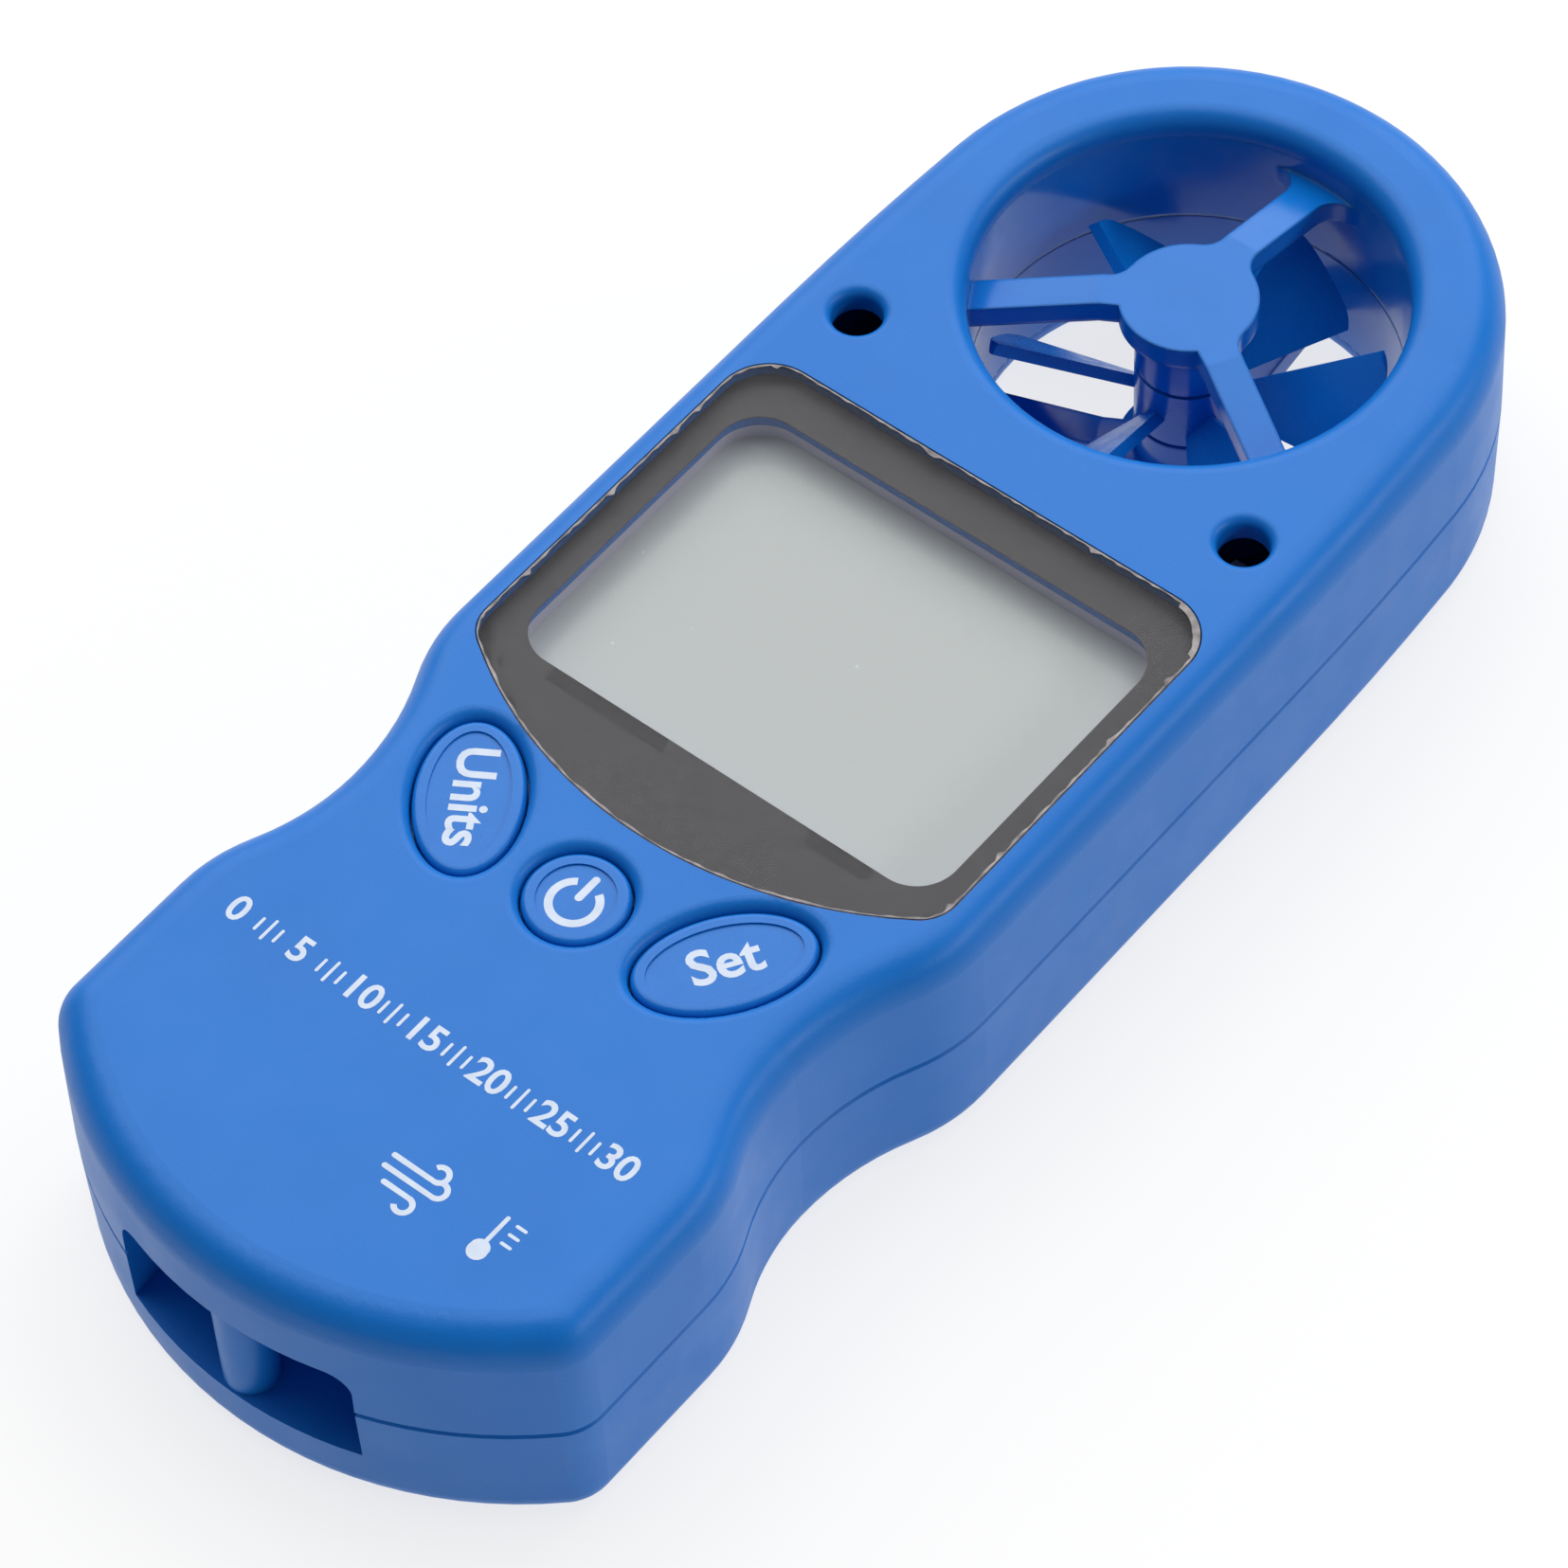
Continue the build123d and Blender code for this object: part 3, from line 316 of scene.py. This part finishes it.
groove = spread(duct_plastic, seam_gap.outputs["Value"], groove_flank, (0, 1))
groove_bump = relief(duct_plastic, groove, groove_depth)
soft_edge = duct_tree.nodes.new("ShaderNodeBevel")
soft_edge.inputs["Radius"].default_value = edge_radius
duct_tree.links.new(soft_edge.outputs["Normal"], groove_bump.inputs["Normal"])
print("groove at", seam_height, "edges rounded by", edge_radius)

# %% [markdown]
# ## The display's layers
# Under the face lie a clear lens, a printed border and a reflective display panel in a
# white holder. The panel is grey-green and looks silky, because light crosses its rear
# foil twice. A few specks of dust sit on it: cells of a Voronoi pattern, of which only the
# very middle is kept.

# %% Display finishes
panel_grey, dust_grey = (0.66, 0.70, 0.69), (0.85, 0.88, 0.87)
dust_spacing = 3.5 * MM
clear_window = plain("clear_window", (0.12, 0.13, 0.13), 0.04, Alpha=0.06)
wear(clear_window, 1.2 * MM, 0.03, 0.07)
black_border = plain("black_border", (0.030, 0.026, 0.028), 0.45)
mottle(black_border, (0.032, 0.028, 0.030), (0.028, 0.024, 0.027), 2 * MM)
white_plastic = plain("white_plastic", (0.60, 0.58, 0.72), 0.4)
mottle(white_plastic, (0.60, 0.58, 0.72), (0.56, 0.54, 0.68), 2 * MM)

display_glass = plain("display_glass", panel_grey, 0.25)
dust = display_glass.node_tree.nodes.new("ShaderNodeTexVoronoi")
dust.inputs["Scale"].default_value = 1 / dust_spacing
dust_place = display_glass.node_tree.nodes.new("ShaderNodeTexCoord")
display_glass.node_tree.links.new(dust_place.outputs["Object"], dust.inputs["Vector"])
dust_spots = spread(display_glass, dust.outputs["Distance"], (0.03, 0.045), (1, 0))
blend_colours(display_glass, dust_spots, panel_grey, dust_grey)

dress(clear_window, "display_window")
dress(black_border, "window_mask", "window_tape")
dress(display_glass, "lcd_panel")
dress(white_plastic, "lcd_holder", "humidity_sensor")
print("display finishes ready")

# %% [markdown]
# ## Finishes of what shows through the openings
# The vents, the duct and the back let us see small parts: resin blobs, a green board, a
# film lead, and metals. Each gets a base colour near the real one and a little variation,
# because a perfectly even metal looks painted.

# %% Small finishes
soft_rubber = plain("soft_rubber", (0.5, 0.45, 0.47), 0.8)
relief(soft_rubber, noise(soft_rubber, 0.3 * MM), 0.02 * MM)
black_resin = plain("black_resin", (0.012, 0.012, 0.014), 0.45)
relief(black_resin, noise(black_resin, 0.2 * MM), 0.015 * MM)
circuit_board = plain("circuit_board", (0.01, 0.09, 0.03), 0.3)
mottle(circuit_board, (0.01, 0.10, 0.035), (0.008, 0.07, 0.022), 1.5 * MM)
lead_film = plain("lead_film", (0.35, 0.15, 0.02), 0.35)
mottle(lead_film, (0.36, 0.16, 0.02), (0.30, 0.12, 0.015), 1 * MM)
steel = plain("steel", (0.58, 0.58, 0.60), 0.25, Metallic=1.0)
wear(steel, 0.5 * MM, 0.18, 0.36)
brass = plain("brass", (0.70, 0.48, 0.16), 0.28, Metallic=1.0)
wear(brass, 0.4 * MM, 0.2, 0.4)
magnet = plain("magnet", (0.22, 0.22, 0.24), 0.3, Metallic=1.0)
wear(magnet, 0.5 * MM, 0.22, 0.38)

dress(soft_rubber, "zebra_strip", "lcd_pad")
dress(circuit_board, "main_board")
dress(lead_film, "pickup_lead")
dress(black_resin, "pickup_sensor", "controller_chip", "board_capacitors", "temperature_sensor")
dress(steel, "impeller_shaft", "timing_crystal", "case_screws", "board_screws", "coin_cell")
dress(steel, "battery_inner_contact", "battery_rim_contact")
dress(brass, "front_bearing", "rear_bearing")
dress(magnet, "impeller_magnet")
for key_name in ("units", "power", "set"):
    dress(black_resin, f"{key_name}_switch")
    dress(white_plastic, f"{key_name}_plunger")
print("materials made:", len(bpy.data.materials))

# %% [markdown]
# ## Thin sheets
# The film and the ink are both flat shapes with a little thickness. Two helpers make them:
# one takes the upper face of a CAD node as a single clean face, so that a sheet fits the node
# exactly, and one thickens flat faces downwards.

# %% Helpers for thin sheets
def top_sheet(node):
    """The upper face of a flat CAD node as one clean face."""
    sketch = bmesh.new()
    sketch.from_mesh(nodes[node].data)
    bmesh.ops.remove_doubles(sketch, verts=sketch.verts, dist=0.001 * MM)
    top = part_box(node)[1].z
    lower = [f for f in sketch.faces if f.calc_center_median().z < top - 0.01 * MM]
    bmesh.ops.delete(sketch, geom=lower, context="FACES")
    bmesh.ops.dissolve_faces(sketch, faces=sketch.faces)
    return sketch


def raise_sheet(sketch, thickness):
    """Thicken flat faces downwards and turn all faces outwards."""
    raised = bmesh.ops.extrude_face_region(sketch, geom=sketch.faces[:])
    lowered = [v for v in raised["geom"] if isinstance(v, bmesh.types.BMVert)]
    bmesh.ops.translate(sketch, verts=lowered, vec=(0, 0, -thickness))
    bmesh.ops.recalc_face_normals(sketch, faces=sketch.faces)


print("sheet helpers ready")

# %% [markdown]
# ## The protective film
# The window still wears the thin film it was shipped with. Its cut edge has lifted in
# places, most of all at the upper right corner, and there it catches light as a pale ragged
# line, which is painted on the rim as a glint. The outline of the film is cut into short
# pieces and inset, which gives the rim its width, and each point of the inner line then
# moves by a small random step.

# %% Film outline with a ragged rim
cut_length = 0.5 * MM
rim_width = 0.18 * MM
ragged_step = (-0.11, 0.05)
tear_chance, tear_step = 0.04, 0.3
peeled_reach, peeled_step = 3.4 * MM, 0.35

random.seed(7)
film = top_sheet("window_film")
for edge in film.edges[:]:
    pieces = int(edge.calc_length() / cut_length)
    if pieces > 1:
        bmesh.ops.subdivide_edges(film, edges=[edge], cuts=pieces - 1)
bmesh.ops.inset_region(film, faces=film.faces[:], thickness=rim_width, use_boundary=True)
sheet_face = max(film.faces, key=lambda face: face.calc_area())
middle = (window_low + window_high) / 2
for corner in sheet_face.verts:
    lift = random.uniform(*ragged_step)
    if random.random() < tear_chance:
        lift += tear_step
    if (corner.co - window_high).xy.length < peeled_reach:
        lift += peeled_step
    corner.co += ((middle - corner.co).xy.normalized() * lift * MM).to_3d()
print("points along the rim:", len(sheet_face.verts))

# %% [markdown]
# The outline now splits into two pieces with a material each. The large face becomes the
# sheet, and the ring of four-sided faces round it the rim. Both stand in for the plain CAD
# film, which is hidden, and ride on the body.

# %% Film sheet and its lifted rim
film_thickness = 0.09 * MM
clear_film = plain("clear_film", (0.12, 0.12, 0.14), 0.12, Alpha=0.06)
wear(clear_film, 0.9 * MM, 0.06, 0.2)
# Painted glint: the rim's pale patches stand for light caught by the lifted edge, and the mottle
# lets it come and go along the rim.
film_rim_glint = plain("film_rim", (0.25, 0.23, 0.23), 0.35)
mottle(film_rim_glint, (0.36, 0.32, 0.32), (0.09, 0.08, 0.085), 1.1 * MM)

rim_film = film.copy()
bmesh.ops.delete(film, geom=[f for f in film.faces if len(f.verts) <= 4], context="FACES")
bmesh.ops.delete(rim_film, geom=[f for f in rim_film.faces if len(f.verts) > 4], context="FACES")
film_parts = (("film_sheet", film, clear_film), ("film_rim", rim_film, film_rim_glint))
for part_name, part, finish in film_parts:
    raise_sheet(part, film_thickness)
    piece = new_object(part_name, part)
    piece.data.materials.append(finish)
    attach(piece, "body")
    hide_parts("window_film")
    print(part_name, "faces:", len(piece.data.polygons))

# %% [markdown]
# ## Printed marks
# The white marks on the real meter are pad-printed: a flat layer of ink about a hundredth
# of a millimetre thick. Here each mark is a real thin shape, since a shape keeps its crisp
# edge at any distance. Strokes are made in two ways: a straight one is a circle with one
# half moved away, and a bent one is a short line spun about a centre.

# %% Ink and its strokes
ink_thickness = 0.012 * MM
hair = 1e-5
white_ink = plain("white_ink", (0.60, 0.68, 0.80), 0.5)
mottle(white_ink, (0.62, 0.70, 0.82), (0.55, 0.63, 0.76), 1 * MM)


def stroke_height(sketch):
    """Each further stroke lies a hair above the last, so that crossing ones don't coincide."""
    return hair * len(sketch.verts)


def straight_stroke(sketch, start, end, width):
    """A stroke with round ends between two points, in millimetres."""
    along = Vector(end) - Vector(start)
    height = stroke_height(sketch)
    made = bmesh.ops.create_circle(sketch, cap_ends=True, segments=16, radius=width / 2)
    far = [v for v in made["verts"] if v.co.x > 0.001 * width]
    bmesh.ops.translate(sketch, verts=far, vec=(along.length, 0, 0))
    angle = math.atan2(along.y, along.x)
    place = Matrix.Translation((*start, height)) @ Matrix.Rotation(angle, 4, "Z")
    bmesh.ops.transform(sketch, matrix=place, verts=made["verts"])


def bent_stroke(sketch, middle_point, radius, width, start_angle, end_angle):
    """A stroke along a circle, between two angles in degrees."""
    facing = Vector((math.cos(math.radians(start_angle)), math.sin(math.radians(start_angle))))
    height = stroke_height(sketch)
    inner = sketch.verts.new((*(Vector(middle_point) + facing * (radius - width / 2)), height))
    outer = sketch.verts.new((*(Vector(middle_point) + facing * (radius + width / 2)), height))
    line = sketch.edges.new((inner, outer))
    bmesh.ops.spin(
        sketch,
        geom=[inner, outer, line],
        cent=(*middle_point, 0),
        axis=(0, 0, 1),
        angle=math.radians(end_angle - start_angle),
        steps=max(4, int(abs(end_angle - start_angle) / 8)),
    )


def words(sketch, text, size, place):
    """Letters of the built-in font, centred on a place."""
    letters = bpy.data.curves.new("letters", "FONT")
    letters.body = text
    letters.size = size
    letters.align_x, letters.align_y = "CENTER", "CENTER"
    letters.resolution_u = 4
    letters.offset = size * 0.022
    holder = bpy.data.objects.new("letters", letters)
    flat = bpy.data.meshes.new_from_object(holder)
    before = len(sketch.verts)
    sketch.from_mesh(flat)
    sketch.verts.ensure_lookup_table()
    bmesh.ops.transform(sketch, matrix=place, verts=sketch.verts[before:])
    bpy.data.objects.remove(holder)
    bpy.data.curves.remove(letters)
    bpy.data.meshes.remove(flat)


def print_mark(name, sketch, body, height):
    """Scale a flat mark drawn in millimetres, give it its thickness and set it on a body."""
    bmesh.ops.scale(sketch, vec=(MM, MM, MM), verts=sketch.verts)
    bmesh.ops.translate(sketch, vec=(0, 0, height + ink_thickness), verts=sketch.verts)
    bmesh.ops.recalc_face_normals(sketch, faces=sketch.faces)
    raise_sheet(sketch, ink_thickness)
    for face in sketch.faces:
        face.smooth = False
    mark = new_object(name, sketch)
    mark.data.materials.append(white_ink)
    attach(mark, body)
    print(name, "faces:", len(mark.data.polygons))


print("ink helpers ready")

# %% [markdown]
# ## A wind scale across the grip
# One line of print runs across the grip. It is a plain wind scale here: numbers every five
# steps with small ticks between them, evenly spaced over the width of the line.

# %% Wind scale
scale_left, scale_right, scale_row = -17.2, 16.2, -41.8
scale_steps, step_value = 6, 5
scale_gap = (scale_right - scale_left) / scale_steps
number_size = 2.9
tick_gap, tick_width = 0.85, 0.24
long_tick, short_tick = 0.85, 0.5

scale = bmesh.new()
for number in range(scale_steps + 1):
    at = scale_left + number * scale_gap
    words(scale, str(step_value * number), number_size, Matrix.Translation((at, scale_row, 0)))
for number in range(scale_steps):
    for tick in (-1, 0, 1):
        at = scale_left + (number + 0.5) * scale_gap + tick * tick_gap
        reach = long_tick if tick == 0 else short_tick
        straight_stroke(scale, (at, scale_row - reach), (at, scale_row + reach), tick_width)
print_mark("wind_scale", scale, "body", face_height)

# %% [markdown]
# ## Two pictograms at the foot
# Below the scale stand two small signs. One shows moving air as three lines that curl at
# their ends, the other a thermometer, for the two things that the meter reads.

# %% Foot pictograms
air_width, curl_radius = 0.42, 0.62
air = bmesh.new()
for row, start, end, curl in ((-50.2, 4.2, 7.6, 1), (-51.2, 4.2, 8.3, 1), (-52.2, 5.0, 7.2, -1)):
    straight_stroke(air, (start, row), (end, row), air_width)
    curl_middle = (end, row + curl * curl_radius)
    bent_stroke(air, curl_middle, curl_radius, air_width, -90 * curl, 150 * curl)
print_mark("air_sign", air, "body", face_height)

stem, stem_width, bulb_width, mark_width = 13.3, 0.34, 1.5, 0.26
warmth = bmesh.new()
straight_stroke(warmth, (stem, -51.6), (stem, -49.4), stem_width)
straight_stroke(warmth, (stem, -52.5), (stem, -52.3), bulb_width)
for row in (-49.5, -50.3, -51.1):
    straight_stroke(warmth, (14.2, row), (14.9, row), mark_width)
print_mark("warmth_sign", warmth, "body", face_height)

# %% [markdown]
# ## Legends on the keys
# The round key carries the usual sign for switching on: an open ring with a bar in its gap.
# The two ovals carry plain words that say what they do, set along each oval. Every legend
# rides on its key, so it sinks with it.

# %% Key legends
dish_depth = 0.15 * MM
word_size = 4.0
ring_x, ring_y, ring_radius, ring_width = 0.1, -27.25, 1.75, 0.6
power = bmesh.new()
bent_stroke(power, (ring_x, ring_y), ring_radius, ring_width, 122, 418)
straight_stroke(power, (ring_x, ring_y + 0.5), (ring_x, ring_y + 2.3), ring_width)
print_mark("power_legend", power, "power_key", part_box("power_key")[1].z - dish_depth)

for key_name, text, angle in (("units", "Units", -58), ("set", "Set", 57)):
    key_low, key_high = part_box(f"{key_name}_key")
    key_middle = (key_low + key_high) / 2 / MM
    place = Matrix.Translation((key_middle.x, key_middle.y, 0))
    legend = bmesh.new()
    words(legend, text, word_size, place @ Matrix.Rotation(math.radians(angle), 4, "Z"))
    print_mark(f"{key_name}_legend", legend, f"{key_name}_key", key_high.z - dish_depth)

# %% Finish
bpy.context.view_layer.update()
